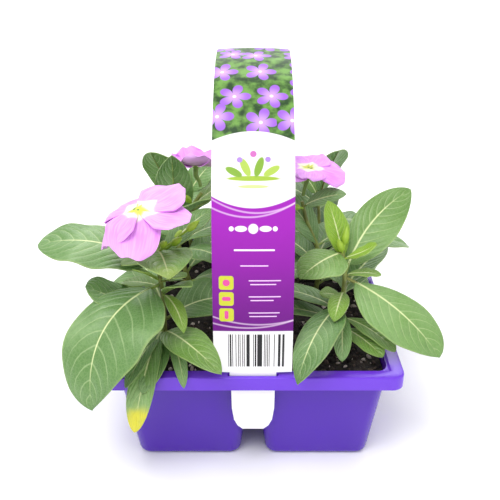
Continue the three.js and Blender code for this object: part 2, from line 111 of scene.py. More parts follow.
def pick(wanted, kind="VERT"):
    # selects, in edit mode, the vertices, edges or faces that the test wants
    bpy.ops.mesh.select_mode(type=kind)
    bpy.ops.mesh.select_all(action="DESELECT")
    mesh = bmesh.from_edit_mesh(bpy.context.object.data)
    for part in {"VERT": mesh.verts, "EDGE": mesh.edges, "FACE": mesh.faces}[kind]:
        part.select = wanted(part)
    mesh.select_flush_mode()
    bmesh.update_edit_mesh(bpy.context.object.data)


def marked(piece, **values):
    # one value for the whole piece, for its paint to read
    for name, value in values.items():
        field = piece.data.attributes.new(name, "FLOAT", "POINT")
        field.data.foreach_set("value", [value] * len(piece.data.vertices))


def setPaint(piece, *paints):
    piece.data.materials.clear()
    for paint in paints:
        piece.data.materials.append(paint)


def finish(piece, slotName, *nodes, angle):
    useOnly(piece)
    bpy.ops.object.shade_smooth_by_angle(angle=math.radians(angle))
    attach(piece, "root")
    if nodes:
        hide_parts(*nodes)


# Shader helpers
class Paint:
    def __init__(self, name, roughness):
        self.material = bpy.data.materials.new(name)
        self.material.use_nodes = True
        self.nodes = self.material.node_tree.nodes
        self.links = self.material.node_tree.links
        self.shader = self.nodes["Principled BSDF"]
        self.shader.inputs["Roughness"].default_value = roughness

    def add(self, kind, inputs=(), **settings):
        node = self.nodes.new(kind)
        for key, value in settings.items():
            setattr(node, key, value)
        for key, value in dict(inputs).items():
            self.plug(node.inputs[key], value)
        return node

    def plug(self, socket, value):
        if isinstance(value, bpy.types.NodeSocket):
            self.links.new(value, socket)
        else:
            socket.default_value = value

    def maths(self, operation, a, b=0.0, c=0.0):
        return self.add("ShaderNodeMath", {0: a, 1: b, 2: c}, operation=operation).outputs[0]

    def times(self, a, b):
        return self.maths("MULTIPLY", a, b)

    def scaled(self, value, factor, added):
        return self.maths("MULTIPLY_ADD", value, factor, added)

    def sizeOf(self, value):
        return self.maths("ABSOLUTE", value)

    def less(self, value):
        # what the value leaves of 1
        return self.maths("SUBTRACT", 1, value)

    def ramp(self, value, low, high):
        # 0 below low, 1 above high, smooth between
        return self.add("ShaderNodeMapRange", {"Value": value, "From Min": low, "From Max": high},
                        interpolation_type="SMOOTHSTEP").outputs["Result"]

    def fall(self, value, low, high):
        # 1 below low, 0 above high
        return self.less(self.ramp(value, low, high))

    def mark(self, name):
        return self.add("ShaderNodeAttribute", attribute_name=name).outputs["Fac"]

    def uvPlace(self):
        # the two coordinates of the piece's own UV map
        uv = self.add("ShaderNodeUVMap", uv_map="UVMap").outputs["UV"]
        return self.add("ShaderNodeSeparateXYZ", {0: uv}).outputs[:2]

    def blend(self, share, a, b):
        node = self.add("ShaderNodeMix", data_type="RGBA")
        self.plug(node.inputs[0], share)
        for place, ink in ((6, a), (7, b)):
            self.plug(node.inputs[place], (*colour(ink), 1) if isinstance(ink, str) else ink)
        return node.outputs[2]

    def objectPlace(self):
        return self.add("ShaderNodeTexCoord").outputs["Object"]

    def noise(self, scale, detail, where=None):
        where = where or self.objectPlace()
        inputs = {"Vector": where, "Scale": scale, "Detail": detail}
        return self.add("ShaderNodeTexNoise", inputs).outputs["Fac"]

    def relief(self, height, distance, strength, under=None):
        node = self.add("ShaderNodeBump", {"Height": height, "Distance": distance, "Strength": strength})
        if under:
            self.links.new(under, node.inputs["Normal"])
        return node.outputs["Normal"]

    def set(self, **sockets):
        for key, value in sockets.items():
            self.plug(self.shader.inputs[key.replace("_", " ")], value)
        return self.material


def colour(hexCode):
    # a screen colour as scene-linear red, green and blue
    parts = [int(hexCode[i:i + 2], 16) / 255 for i in (1, 3, 5)]
    return tuple(p / 12.92 if p <= 0.04045 else ((p + 0.055) / 1.055) ** 2.4 for p in parts)


# Paints
def trayPaint():
    paint = Paint("purplePlastic", 0.24)
    cloud = paint.noise(9, 2)
    fine = paint.noise(900, 2)
    body = paint.blend(paint.ramp(cloud, 0.35, 0.65), "#420F9E", "#4C17AC")
    # painted light and shade: the rim and lip, which catch the light, are painted lighter than the cells in
    # the shade below them
    height = paint.add("ShaderNodeSeparateXYZ", {0: paint.objectPlace()}).outputs[2]
    body = paint.blend(paint.ramp(height, *tray["litLipFade"]), body, "#6A34D2")
    normal = paint.relief(fine, 0.00008, 0.5)
    normal = paint.relief(cloud, 0.0012, 0.35, normal)
    return paint.set(Base_Color=body, Normal=normal, Specular_IOR_Level=0.5)


def soilPaint():
    paint = Paint("pottingMix", 0.95)
    clumps = paint.noise(180, 6)
    grit = paint.noise(1400, 3)
    body = paint.blend(paint.ramp(clumps, 0.35, 0.7), "#0F0B0B", "#332A28")
    body = paint.blend(paint.ramp(grit, 0.62, 0.72), body, "#5A4C44")
    return paint.set(Base_Color=body, Normal=paint.relief(grit, 0.0007, 0.9))


def crumbPaint():
    paint = Paint("mixCrumbs", 0.9)
    tone = paint.mark("tone")
    grain = paint.noise(1200, 4)
    body = paint.blend(paint.ramp(tone, 0.1, 0.8), "#120D0D", "#4C3E37")
    body = paint.blend(paint.ramp(tone, 0.88, 0.92), body, "#D6C8C0")
    body = paint.blend(paint.ramp(grain, 0.5, 0.75), body, "#2C221D")
    return paint.set(Base_Color=body, Normal=paint.relief(grain, 0.0004, 0.8))


veins = {"pairs": 9, "slant": 0.12, "curve": 0.24, "width": 0.2}


def leafPaint():
    paint = Paint("leafSkin", 0.36)
    along, across = paint.uvPlace()
    side = paint.sizeOf(paint.scaled(across, 2, -1))
    young, tone, ripe, off = (paint.mark(name) for name in ("young", "tone", "ripe", "off"))
    # side veins: they leave the midrib slanting and curve towards the tip
    wander = paint.scaled(paint.noise(60, 2), 0.05, -0.025)
    bent = paint.times(side, paint.scaled(side, veins["curve"], veins["slant"]))
    phase = paint.times(paint.maths("ADD", paint.maths("SUBTRACT", along, bent), wander), veins["pairs"])
    ridge = paint.sizeOf(paint.scaled(paint.maths("FRACT", phase), 2, -1))
    lateral = paint.ramp(ridge, 1 - veins["width"], 1.0)
    lateral = paint.times(lateral, paint.fall(side, 0.5, 0.95))
    lateral = paint.times(lateral, paint.ramp(along, 0.03, 0.12))
    # midrib: as wide in millimetres on every leaf, thinner towards the tip
    wide = paint.scaled(along, -0.38, 0.6)
    midrib = paint.fall(paint.maths("DIVIDE", off, wide), 0.5, 1.3)
    midrib = paint.times(midrib, paint.fall(along, 0.55, 0.98))
    net = paint.add("ShaderNodeTexVoronoi", {"Vector": paint.objectPlace(), "Scale": 620},
                    feature="DISTANCE_TO_EDGE").outputs["Distance"]
    net = paint.fall(net, 0.02, 0.14)
    mature = paint.blend(tone, "#476F33", "#739A58")
    pale, dark = paint.ramp(paint.noise(55, 4), 0.4, 0.72), paint.ramp(paint.noise(110, 3), 0.5, 0.8)
    skin = paint.blend(paint.times(pale, 0.5), mature, "#9AB982")
    skin = paint.blend(paint.times(dark, 0.4), skin, "#345A22")
    skin = paint.blend(young, skin, paint.blend(paint.noise(90, 3), "#6E9A12", "#9BBF30"))
    skin = paint.blend(paint.times(net, 0.12), skin, "#A6C482")
    vein = paint.blend(young, "#BCD29A", "#CEDC66")
    skin = paint.blend(paint.times(lateral, 0.38), skin, vein)
    skin = paint.blend(paint.times(midrib, 0.85), skin, "#DFE8AC")
    skin = paint.blend(paint.times(paint.ramp(side, 0.93, 1.0), 0.3), skin, "#B4C67A")
    # old leaves turn yellow from the tip
    turned = paint.ramp(paint.scaled(paint.noise(90, 2), 0.5, along), 0.95, 1.2)
    skin = paint.blend(paint.times(turned, ripe), skin, "#D2CC3A")
    pillow = paint.less(paint.times(ridge, ridge))
    normal = paint.relief(pillow, 0.0006, 0.45)
    normal = paint.relief(paint.less(net), 0.00012, 0.5, normal)
    normal = paint.relief(paint.noise(1500, 2), 0.00006, 0.4, normal)
    return paint.set(Base_Color=skin, Normal=normal, Specular_IOR_Level=0.45)


def stemPaint():
    paint = Paint("stemSkin", 0.45)
    red = paint.mark("tone")
    mottle = paint.noise(260, 3)
    body = paint.blend(paint.ramp(mottle, 0.35, 0.65), "#5B7A2C", "#86A14A")
    body = paint.blend(paint.times(red, 0.75), body, "#8A5044")
    fresh = paint.mark("young")
    budGreen = paint.blend(mottle, "#7CA61C", "#B2CC48")
    body = paint.blend(paint.ramp(fresh, 0.5, 0.9), body, budGreen)
    return paint.set(Base_Color=body, Normal=paint.relief(paint.noise(900, 2), 0.0001, 0.5))


def petalPaint():
    paint = Paint("petalSkin", 0.5)
    along, across = paint.uvPlace()
    stretched = paint.add("ShaderNodeCombineXYZ", {0: paint.times(along, 1.4),
                                                   1: paint.times(across, 13)}).outputs[0]
    streak = paint.noise(1.6, 3, stretched)
    body = paint.blend(paint.ramp(streak, 0.35, 0.65), "#E58CF4", "#F2A6FB")
    body = paint.blend(paint.times(paint.ramp(along, 0.55, 1.0), 0.4), body, "#F4B9FB")
    # the pale star: its points run out along the middle of each petal
    middle = paint.less(paint.sizeOf(paint.scaled(across, 2, -1)))
    star = paint.scaled(paint.maths("POWER", middle, 2.0), 0.24, 0.15)
    beyond = paint.scaled(streak, 0.1, paint.maths("SUBTRACT", along, star))
    body = paint.blend(paint.fall(beyond, 0.0, 0.11), body, "#FFFDE2")
    body = paint.blend(paint.fall(along, 0.05, 0.15), body, "#D8DC40")
    return paint.set(Base_Color=body, Normal=paint.relief(streak, 0.0003, 0.5))


def underPaint():
    paint = Paint("petalUnder", 0.6)
    along = paint.uvPlace()[0]
    # painted shade: the underside is painted a mottled greyish mauve near the throat, where it lies in shade,
    # turning pink towards the edge
    mottle = paint.ramp(paint.noise(320, 4), 0.35, 0.7)
    body = paint.blend(mottle, "#C79AC6", "#A58A96")
    body = paint.blend(paint.ramp(along, 0.45, 0.95), body, "#E3A9EC")
    return paint.set(Base_Color=body, Normal=paint.relief(mottle, 0.0002, 0.5))


def throatPaint():
    paint = Paint("throatSkin", 0.6)
    return paint.set(Base_Color=paint.blend(paint.noise(200, 2), "#5C7A34", "#8AA452"))


# Strip label: white card with a picture panel, a purple panel and a bar block, placed by v, the distance
# from the front tongue's tip along the card, and u, across it
def labelPaint(marks):
    paint = Paint("printedCard", 0.48)
    u, v = paint.uvPlace()
    soft = marks["soft"]

    def inside(value, low, high):
        return paint.times(paint.ramp(value, low - soft, low + soft),
                           paint.fall(value, high - soft, high + soft))

    squareU = paint.times(u, u)
    # purple panel, its top edge bowed
    top = paint.scaled(squareU, marks["panelBow"], marks["panelTop"])
    overTop = paint.maths("SUBTRACT", v, top)
    panel = paint.times(paint.ramp(v, marks["panelFoot"] - soft, marks["panelFoot"] + soft),
                        paint.fall(overTop, -soft, soft))
    shade = paint.ramp(v, marks["panelFoot"], marks["panelTop"])
    purple = paint.blend(shade, "#6A0E80", "#9C24B0")
    body = paint.blend(panel, "#F6F4F6", purple)
    for middle, bow, tilt in marks["swooshes"]:
        away = paint.maths("SUBTRACT", v, paint.scaled(squareU, bow, middle))
        line = inside(paint.scaled(u, tilt, away), -marks["lineHalf"], marks["lineHalf"])
        body = paint.blend(paint.times(line, 0.5), body, "#F3D9F6")
    # picture panel: soft leaves with plain round blossoms
    lower = paint.scaled(squareU, -marks["pictureBow"], marks["pictureFoot"])
    picture = paint.ramp(paint.maths("SUBTRACT", v, lower), -soft, soft)
    flat = paint.add("ShaderNodeCombineXYZ", {0: u, 1: v}).outputs[0]
    leafage = paint.noise(170, 3, flat)
    green = paint.blend(paint.ramp(leafage, 0.35, 0.65), "#24431F", "#6C9A46")
    perMetre = marks["blossomsPerMetre"]
    cells = paint.add("ShaderNodeTexVoronoi", {"Vector": flat, "Scale": perMetre, "Randomness": 0.5},
                      voronoi_dimensions="2D", feature="F1")
    offset = paint.add("ShaderNodeVectorMath", {0: flat, 1: cells.outputs["Position"]}, operation="SUBTRACT")
    parts = paint.add("ShaderNodeSeparateXYZ", {0: offset.outputs[0]})
    angle = paint.maths("ARCTAN2", parts.outputs[1], parts.outputs[0])
    radius = paint.times(cells.outputs["Distance"], 1 / perMetre)
    lobes = paint.sizeOf(paint.maths("COSINE", paint.times(angle, 2.5)))
    reach = paint.scaled(paint.maths("POWER", lobes, 0.6), 0.0060, 0.0016)
    blossom = paint.fall(paint.maths("SUBTRACT", radius, reach), -soft, soft)
    petalTone = paint.blend(paint.ramp(radius, 0.0008, 0.0065), "#C49AE6", "#9A62CE")
    green = paint.blend(blossom, green, petalTone)
    centre = paint.fall(radius, 0.0006, 0.0010)
    green = paint.blend(centre, green, "#F6F0D8")
    body = paint.blend(picture, body, green)
    # bar block
    barNumber = paint.maths("FLOOR", paint.times(u, marks["barsPerMetre"]))
    bars = paint.add("ShaderNodeTexWhiteNoise", {"W": barNumber}, noise_dimensions="1D").outputs["Value"]
    block = paint.times(inside(v, *marks["bars"]), inside(u, *marks["barsAcross"]))
    ink = paint.times(block, paint.maths("GREATER_THAN", bars, 0.5))
    body = paint.blend(ink, body, "#2A2A2C")
    for middleU, middleV, halfU, halfV, corner, shapeColour in marks["patches"]:
        past = []
        for value, middle, half in ((u, middleU, halfU), (v, middleV, halfV)):
            distance = paint.sizeOf(paint.maths("SUBTRACT", value, middle))
            past.append(paint.maths("MAXIMUM", paint.maths("SUBTRACT", distance, half - corner), 0.0))
        outside = paint.add("ShaderNodeCombineXYZ", {0: past[0], 1: past[1]})
        away = paint.add("ShaderNodeVectorMath", {0: outside.outputs[0]}, operation="LENGTH").outputs["Value"]
        cover = paint.fall(away, corner - 0.0001, corner + 0.0001)
        body = paint.blend(cover, body, shapeColour)
    for middleU, middleV, turn, halfU, halfV, shapeColour in marks["ovals"]:
        spot = paint.add("ShaderNodeMapping", {"Vector": flat, "Location": (middleU, middleV, 0),
                                               "Rotation": (0, 0, math.radians(turn)),
                                               "Scale": (halfU, halfV, 1)}, vector_type="TEXTURE").outputs[0]
        away = paint.add("ShaderNodeVectorMath", {0: spot}, operation="LENGTH").outputs["Value"]
        body = paint.blend(paint.fall(away, 0.85, 1.1), body, shapeColour)
    return paint.set(Base_Color=body, Coat_Weight=0.05, Coat_Roughness=0.25, Specular_IOR_Level=0.2,
                     Normal=paint.relief(paint.noise(500, 2), 0.00003, 0.4))


# Tray: one moulding with a turned-down rim and six tapering cells
tray = {
    "width": 144, "depth": 180, "top": 55, "lip": 7, "flange": 6, "corner": 6, "edge": 0.8, "wall": 1.2,
    "bodyTop": (65.1, 83.1), "bodyBase": (58.5, 78.3), "rowEdge": 28, "gapTop": 1.6, "gapBase": 6.4,
    "cellCorner": 6, "mouthCorner": 5.8, "foot": 3.2, "dividerTop": 48.6,
    "drain": 4.5, "smallDrain": 2.5, "smallDrainAt": 15,
    "slotWidth": 24, "slotDepth": 1.9, "slotAt": 87.3, "slotReach": (51, 57),
    "litLipFade": (0.0462, 0.0472),  # in metres, where the painted lighter lip begins
}


def addBlock(name, x0, x1, y0, y1, z0, z1):
    middle = ((x0 + x1) / 2 * mm, (y0 + y1) / 2 * mm, (z0 + z1) / 2 * mm)
    bpy.ops.mesh.primitive_cube_add(size=1, location=middle,
                                    scale=((x1 - x0) * mm, (y1 - y0) * mm, (z1 - z0) * mm))
    block = bpy.context.object
    block.name = name
    settle(block)
    return block


def upright(edge):
    return abs(edge.verts[0].co.z - edge.verts[1].co.z) > 2 * mm


def roundEdges(block, wanted, radius, steps):
    openEdit(block)
    pick(wanted, "EDGE")
    bpy.ops.mesh.bevel(offset=radius * mm, segments=steps, affect="EDGES", clamp_overlap=True)
    closeEdit()


def roundCorners(block, radius):
    roundEdges(block, upright, radius, 8)


def roundLoop(block, z, radius, steps=3):
    roundEdges(block, lambda edge: all(abs(v.co.z - z * mm) < 0.02 * mm for v in edge.verts), radius, steps)


def plainBlock(name, halfX, halfY, z0, z1, corner):
    block = addBlock(name, -halfX, halfX, -halfY, halfY, z0, z1)
    roundCorners(block, corner)
    return block


def flare(block, z, factorX, factorY):
    # scales the ring at height z about the middle
    openEdit(block)
    pick(lambda v: abs(v.co.z - z * mm) < 0.02 * mm)
    bpy.ops.transform.resize(value=(factorX, factorY, 1), center_override=(0, 0, z * mm))
    closeEdit()


def cellEdges(row, sign, z):
    t = z / (tray["top"] - tray["lip"])
    gap = tray["gapBase"] + (tray["gapTop"] - tray["gapBase"]) * t
    outX = tray["bodyBase"][0] + (tray["bodyTop"][0] - tray["bodyBase"][0]) * t
    outY = tray["bodyBase"][1] + (tray["bodyTop"][1] - tray["bodyBase"][1]) * t
    xs = sorted((sign * gap, sign * outX))
    near, far = tray["rowEdge"] - gap, tray["rowEdge"] + gap
    ys = (-near, near) if row == 0 else sorted((row * far, row * outY))
    return xs, ys


def addCell(name, row, sign, z0, z1, inset, footRadius):
    (lowX, lowY), (highX, highY) = cellEdges(row, sign, z0), cellEdges(row, sign, z1)
    cell = addBlock(name, highX[0] + inset, highX[1] - inset, highY[0] + inset, highY[1] - inset, z0, z1)
    middleX, middleY = sum(highX) / 2 * mm, sum(highY) / 2 * mm
    openEdit(cell)
    for axis, middle, low, high in ((0, middleX, lowX, highX), (1, middleY, lowY, highY)):
        for end, sideSign in ((0, -1), (1, 1)):
            pick(lambda v: v.co.z < (z0 + 0.01) * mm and (v.co[axis] - middle) * sideSign > 0)
            shift = [0, 0, 0]
            shift[axis] = (low[end] - high[end]) * mm
            bpy.ops.transform.translate(value=shift)
    closeEdit()
    roundCorners(cell, tray["cellCorner"] - inset)
    roundLoop(cell, z0, footRadius, 4)
    return cell


def cut(target, tools, operation="DIFFERENCE"):
    for tool in tools:
        boolean = target.modifiers.new("cut", "BOOLEAN")
        boolean.operation = operation
        boolean.solver = "EXACT"
        boolean.object = tool
        useOnly(target)
        bpy.ops.object.modifier_apply(modifier=boolean.name)
        remove(tool)


def makeTray():
    outX, outY = tray["width"] / 2, tray["depth"] / 2
    wall, dividerTop = tray["wall"], tray["dividerTop"]
    lipFoot, under = tray["top"] - tray["lip"], tray["top"] - wall
    body = plainBlock("trayMoulding", outX, outY, lipFoot, tray["top"], tray["corner"])
    roundLoop(body, tray["top"], tray["edge"])
    cut(body, [plainBlock("groove", outX - wall, outY - wall, lipFoot - 1, under, tray["corner"] - wall)])
    collar = plainBlock("collar", *tray["bodyTop"], dividerTop - wall, under + 0.2, tray["cellCorner"])
    parts = [collar] + [addCell(f"cell{row}{sign}", row, sign, 0, lipFoot, 0, tray["foot"])
                        for row in (-1, 0, 1) for sign in (-1, 1)]
    cut(body, parts, "UNION")
    innerX, innerY = outX - tray["flange"], outY - tray["flange"]
    footX, footY = (size - wall for size in tray["bodyTop"])
    over, corner = tray["top"] + 0.2, tray["mouthCorner"]
    recess = plainBlock("recess", innerX - 1, innerY - 1, dividerTop, over, corner)
    flare(recess, dividerTop, footX / (innerX - 1), footY / (innerY - 1))
    mouth = plainBlock("mouth", innerX - 1, innerY - 1, tray["top"] - 1, over, corner)
    flare(mouth, over, (innerX + 0.2) / (innerX - 1), (innerY + 0.2) / (innerY - 1))
    tools = [recess, mouth]
    for row in (-1, 0, 1):
        for sign in (-1, 1):
            tools.append(addCell("hollow", row, sign, wall, dividerTop + 0.2, wall, tray["foot"] - 1))
            middleX, middleY = (sum(ends) / 2 for ends in cellEdges(row, sign, 0))
            for offset, radius in ((0, tray["drain"]), (-tray["smallDrainAt"], tray["smallDrain"]),
                                   (tray["smallDrainAt"], tray["smallDrain"])):
                spot = ((middleX + offset) * mm, middleY * mm, 0.5 * mm)
                bpy.ops.mesh.primitive_cylinder_add(vertices=24, radius=radius * mm, depth=4 * mm,
                                                    location=spot)
                settle(bpy.context.object)
                tools.append(bpy.context.object)
    for sign in (-1, 1):
        at = sign * tray["slotAt"]
        tools.append(addBlock("slotCut", -tray["slotWidth"] / 2, tray["slotWidth"] / 2,
                              at - tray["slotDepth"] / 2, at + tray["slotDepth"] / 2, *tray["slotReach"]))
    cut(body, tools)
    setPaint(body, trayPaint())
    finish(body, "tray", "tray", angle=35)


makeTray()
print("tray moulded")


# Strip label: a flat card, bent along its path and bowed a little across
card = {
    "thickness": 0.7, "bow": -0.7, "lean": 0.2, "rim": 55, "topZ": 191.2,
    "path": [
        (-86.9, 23.4, 10.3), (-87, 25.5, 15), (-87.1, 29, 18.4), (-87.2, 36, 20.4), (-87.3, 47.8, 20.8),
        (-87.3, 53.2, 25.6), (-87.3, 53.4, 22), (-87.4, 56.8, 22), (-87.4, 57, 36.6), (-87.6, 72, 36.6),
        (-87.2, 90, 36.6), (-85.4, 108, 36.6), (-81.6, 126, 36.6), (-75, 144, 36.6), (-64.6, 160, 36.6),
        (-51, 173, 36.6), (-35.4, 182.6, 36.6), (-18, 189, 36.6), (0, 191.2, 36.6),
    ],
    "columns": 8,
}
cardMarks = {
    "panelFoot": 0.0557, "panelTop": 0.1133, "panelBow": 15.5,
    "pictureFoot": 0.1481, "pictureBow": 13.0,
    "swooshes": [(0.1112, 15.5, 0.05), (0.1094, 15.5, -0.06), (0.0592, 9.0, 0.05), (0.0575, 9.0, -0.04)],
    "bars": (0.0366, 0.0541), "barsAcross": (-0.0115, 0.0145), "barsPerMetre": 2600,
    "blossomsPerMetre": 60, "soft": 0.0003, "lineHalf": 0.00035,
    # plain shapes: middle u, middle v, half width, half height, corner, colour
    "patches": [(0.0005, 0.0948, 0.0090, 0.0004, 0.0003, "#F6E4F8")]
    + [(u, v, half, 0.00025, 0.0002, "#EBC9F0") for u, v, half in (
        (0.0005, 0.0877, 0.0062), (0.0052, 0.0808, 0.0072), (0.0045, 0.0790, 0.0058),
        (0.0052, 0.0731, 0.0072), (0.0040, 0.0713, 0.0052), (0.0050, 0.0652, 0.0070),
        (0.0045, 0.0634, 0.0062))]
    + [(-0.0120, v, 0.0033, 0.0033, 0.0012, "#C6CA3C") for v in (0.0797, 0.0720, 0.0641)]
    + [(-0.0120, *shape, "#D8509A") for shape in (
        (0.0797, 0.0016, 0.0016, 0.0015), (0.0720, 0.0020, 0.0010, 0.0009),
        (0.0641, 0.0009, 0.0021, 0.0008))],
    # ovals of a plain ornament: middle u, middle v, turn, half width, half length, colour
    "ovals": [
        (-0.0096, 0.1043, 0, 0.0011, 0.0011, "#FBF2FC"), (-0.0054, 0.1043, 90, 0.0013, 0.0027, "#FBF2FC"),
        (0.0, 0.1043, 0, 0.0022, 0.0022, "#FBF2FC"), (0.0054, 0.1043, 90, 0.0013, 0.0027, "#FBF2FC"),
        (0.0096, 0.1043, 0, 0.0011, 0.0011, "#FBF2FC"),
        (0.0, 0.1262, 90, 0.0012, 0.0120, "#9CB93E"), (-0.0085, 0.1292, 62, 0.0017, 0.0042, "#7FA63A"),
        (-0.0035, 0.1312, 25, 0.0018, 0.0046, "#A9C455"), (0.0025, 0.1314, -18, 0.0018, 0.0048, "#7FA63A"),
        (0.0080, 0.1296, -58, 0.0017, 0.0042, "#A9C455"), (0.0, 0.1226, 90, 0.0008, 0.0070, "#C9D98E"),
        (-0.0060, 0.1346, 0, 0.0013, 0.0013, "#A884D8"), (0.0, 0.1372, 0, 0.0015, 0.0015, "#C56BB4"),
        (0.0064, 0.1348, 0, 0.0013, 0.0013, "#A884D8"),
    ],
}


def makeCard():
    front = card["path"]
    path = front + [(-y, z, w) for y, z, w in reversed(front[:-1])]
    stations, lengths = [], [0.0]
    for (y0, z0, w0), (y1, z1, w1) in zip(path, path[1:]):
        step = math.hypot(y1 - y0, z1 - z0)
        pieces = max(1, round(step / 4))
        for k in range(pieces):
            t = k / pieces
            y, z, width = y0 + (y1 - y0) * t, z0 + (z1 - z0) * t, w0 + (w1 - w0) * t
            stations.append((y, z, width, lengths[-1] + step * t))
        lengths.append(lengths[-1] + step)
    stations.append((*path[-1], lengths[-1]))
    bpy.ops.mesh.primitive_grid_add(x_subdivisions=card["columns"], y_subdivisions=len(stations) - 1, size=2)
    strip = bpy.context.object
    strip.name = "stripLabel"
    mesh = strip.data
    uvMap = mesh.uv_layers.active.data
    rows = len(stations)
    smooth = []
    for i in range(rows):
        nearby = stations[max(i - 1, 0)], stations[min(i + 1, rows - 1)]
        along = Vector((0, nearby[1][0] - nearby[0][0], nearby[1][1] - nearby[0][1])).normalized()
        smooth.append(Vector((1, 0, 0)).cross(along))
    place = {}
    for vertex in mesh.vertices:
        i = round((vertex.co.y + 1) / 2 * (rows - 1))
        u = vertex.co.x
        y, z, width, length = stations[i]
        height = max(0.0, (z - card["rim"]) / (card["topZ"] - card["rim"]))
        bow = card["bow"] * min(1, height * 3)
        spot = Vector((u * width / 2 + card["lean"] * height, y, z)) + smooth[i] * (bow * u * u)
        place[vertex.index] = (u * width / 2 * mm, length * mm)
        vertex.co = spot * mm
    for loop in mesh.loops:
        uvMap[loop.index].uv = place[loop.vertex_index]
    wall = strip.modifiers.new("wall", "SOLIDIFY")
    wall.thickness, wall.offset, wall.use_even_offset = card["thickness"] * mm, 0, True
    applyAll(strip)
    setPaint(strip, labelPaint(cardMarks))
    finish(strip, "label", "handle_label", angle=40)


makeCard()
print("strip label bent")


# Soil: the plug of each cell with a crumbled top, and loose crumbs on it
mix = {"top": 49.8, "topFaces": 49, "topPoints": 48.9, "rough": 3.2, "fine": 1.4, "rim": 3,
       "crumbs": 460, "crumbEdge": 2.5, "crumbSizes": (0.5, 0.7, 0.9, 1.3, 1.9), "seed": 7}
rowNames, sideNames = {-1: "front", 0: "middle", 1: "back"}, {-1: "left", 1: "right"}
soilSkin, crumbSkin = soilPaint(), crumbPaint()
for textureName, size in (("clods", 5.5), ("grains", 1.7)):
    cloudy = bpy.data.textures.new(textureName, "CLOUDS")
    cloudy.noise_scale, cloudy.noise_depth = size * mm, 2


def makeSoil(row, sign):
    node = f"soil_{rowNames[row]}_{sideNames[sign]}"
    low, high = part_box(node)
    plug = copyOf(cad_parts[node], f"pottingMix_{rowNames[row]}_{sideNames[sign]}")
    openEdit(plug)
    bpy.ops.mesh.select_all(action="SELECT")
    bpy.ops.mesh.remove_doubles(threshold=0.02 * mm)

    def onTop(face):
        return face.normal.z > 0.8 and face.calc_center_median().z > mix["topFaces"] * mm

    for size in (6, 3, 1.6):
        pick(lambda face: onTop(face) and max(e.calc_length() for e in face.edges) > size * mm, "FACE")
        bpy.ops.mesh.subdivide(number_cuts=1)
    closeEdit()
    top = plug.vertex_groups.new(name="top")
    for vertex in plug.data.vertices:
        inEdge = min(vertex.co.x - low.x, high.x - vertex.co.x, vertex.co.y - low.y, high.y - vertex.co.y)
        if vertex.co.z > mix["topPoints"] * mm and vertex.normal.z > 0.5:
            top.add([vertex.index], min(1, inEdge / (mix["rim"] * mm)), "REPLACE")
    for textureName, strength in (("clods", mix["rough"]), ("grains", mix["fine"])):
        bumpy = plug.modifiers.new(textureName, "DISPLACE")
        bumpy.texture = bpy.data.textures[textureName]
        bumpy.texture_coords, bumpy.direction = "LOCAL", "Z"
        bumpy.strength, bumpy.mid_level, bumpy.vertex_group = strength * mm, 0.5, "top"
    applyAll(plug)
    setPaint(plug, soilSkin)
    finish(plug, "soil", node, angle=60)


def scatterCrumbs(row, sign, chance):
    low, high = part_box(f"soil_{rowNames[row]}_{sideNames[sign]}")
    edge = mix["crumbEdge"] * mm
    grains = []
    bpy.ops.mesh.primitive_ico_sphere_add(subdivisions=1, radius=1)
    grain = bpy.context.object
    for _ in range(mix["crumbs"]):
        size = chance.choice(mix["crumbSizes"]) * mm
        piece = copyOf(grain, "grain")
        piece.location = (chance.uniform(low.x + edge, high.x - edge),
                          chance.uniform(low.y + edge, high.y - edge),
                          mix["top"] * mm + chance.uniform(0.1, 0.8) * mm)
        piece.rotation_euler = [chance.uniform(0, 3) for _ in range(3)]
        piece.scale = [size * chance.uniform(*limits) for limits in ((0.8, 1.6), (0.5, 1), (0.4, 0.9))]
        marked(piece, tone=chance.random())
        grains.append(piece)
    remove(grain)
    settle(*grains)
    crumbs = joinAll(grains, f"mixCrumbs_{rowNames[row]}_{sideNames[sign]}")
    setPaint(crumbs, crumbSkin)
    finish(crumbs, "soil", angle=20)


chance = random.Random(mix["seed"])
for row in (-1, 0, 1):
    for sign in (-1, 1):
        makeSoil(row, sign)
        scatterCrumbs(row, sign, chance)
print("cells filled")


# Leaves: one blade is shaped for each form, then copied, sized and bent for every leaf
blade = {"columns": 46, "rows": 14, "petiole": 0.09, "fold": 0.14, "belly": 0.58, "skew": 0, "lop": 0,
         "point": 1.55, "thickness": 0.55, "quilt": 0.028, "cup": 0.03, "gather": 0.07, "wave": 0.05,
         "petioleRadius": 0.85, "tipRadius": 0.12, "rodSink": 0.5}
leafSkin, stemSkin = leafPaint(), stemPaint()


def bladeHalf(s, belly, point):
    s = min(max(s, 0.0), 1.0)
    return max(0.012, (s / belly) ** (point * belly) * ((1 - s) / (1 - belly)) ** (point * (1 - belly)))


def makeBlade(belly, skew, lop, fold, point):
    # unit length along X and unit half width across Y; rows gather towards both ends so they stay round
    bpy.ops.mesh.primitive_grid_add(x_subdivisions=blade["columns"], y_subdivisions=blade["rows"], size=2)
    leaf = bpy.context.object
    leaf.name = "blade"
    for vertex in leaf.data.vertices:
        u, w = (vertex.co.x + 1) / 2, vertex.co.y
        s = u - blade["gather"] * math.sin(2 * math.pi * u)
        hand = -1 if w > 0 else 1
        half = bladeHalf(s, belly + hand * skew, point) * (1 + hand * lop)
        side = abs(w)
        phase = ((s - side * (veins["slant"] + veins["curve"] * side)) * veins["pairs"]) % 1
        ridge = abs(2 * phase - 1)
        quilt = blade["quilt"] * (1 - ridge ** 2) * math.sin(math.pi * min(1, side * 1.05)) * min(1, s * 6)
        cup = blade["cup"] * math.sin(math.pi * side)
        vertex.co = (s, w * half, (fold * side + quilt + cup) * half)
    for loop in leaf.data.loops:
        uv = leaf.data.uv_layers.active.data[loop.index].uv
        uv[0] -= blade["gather"] * math.sin(2 * math.pi * uv[0])
    return leaf


blades = {}
bpy.ops.curve.primitive_bezier_curve_add()
bender = bpy.context.object
bender.name = "bender"
bender.data.resolution_u = 24
bender.data.twist_mode = "Z_UP"


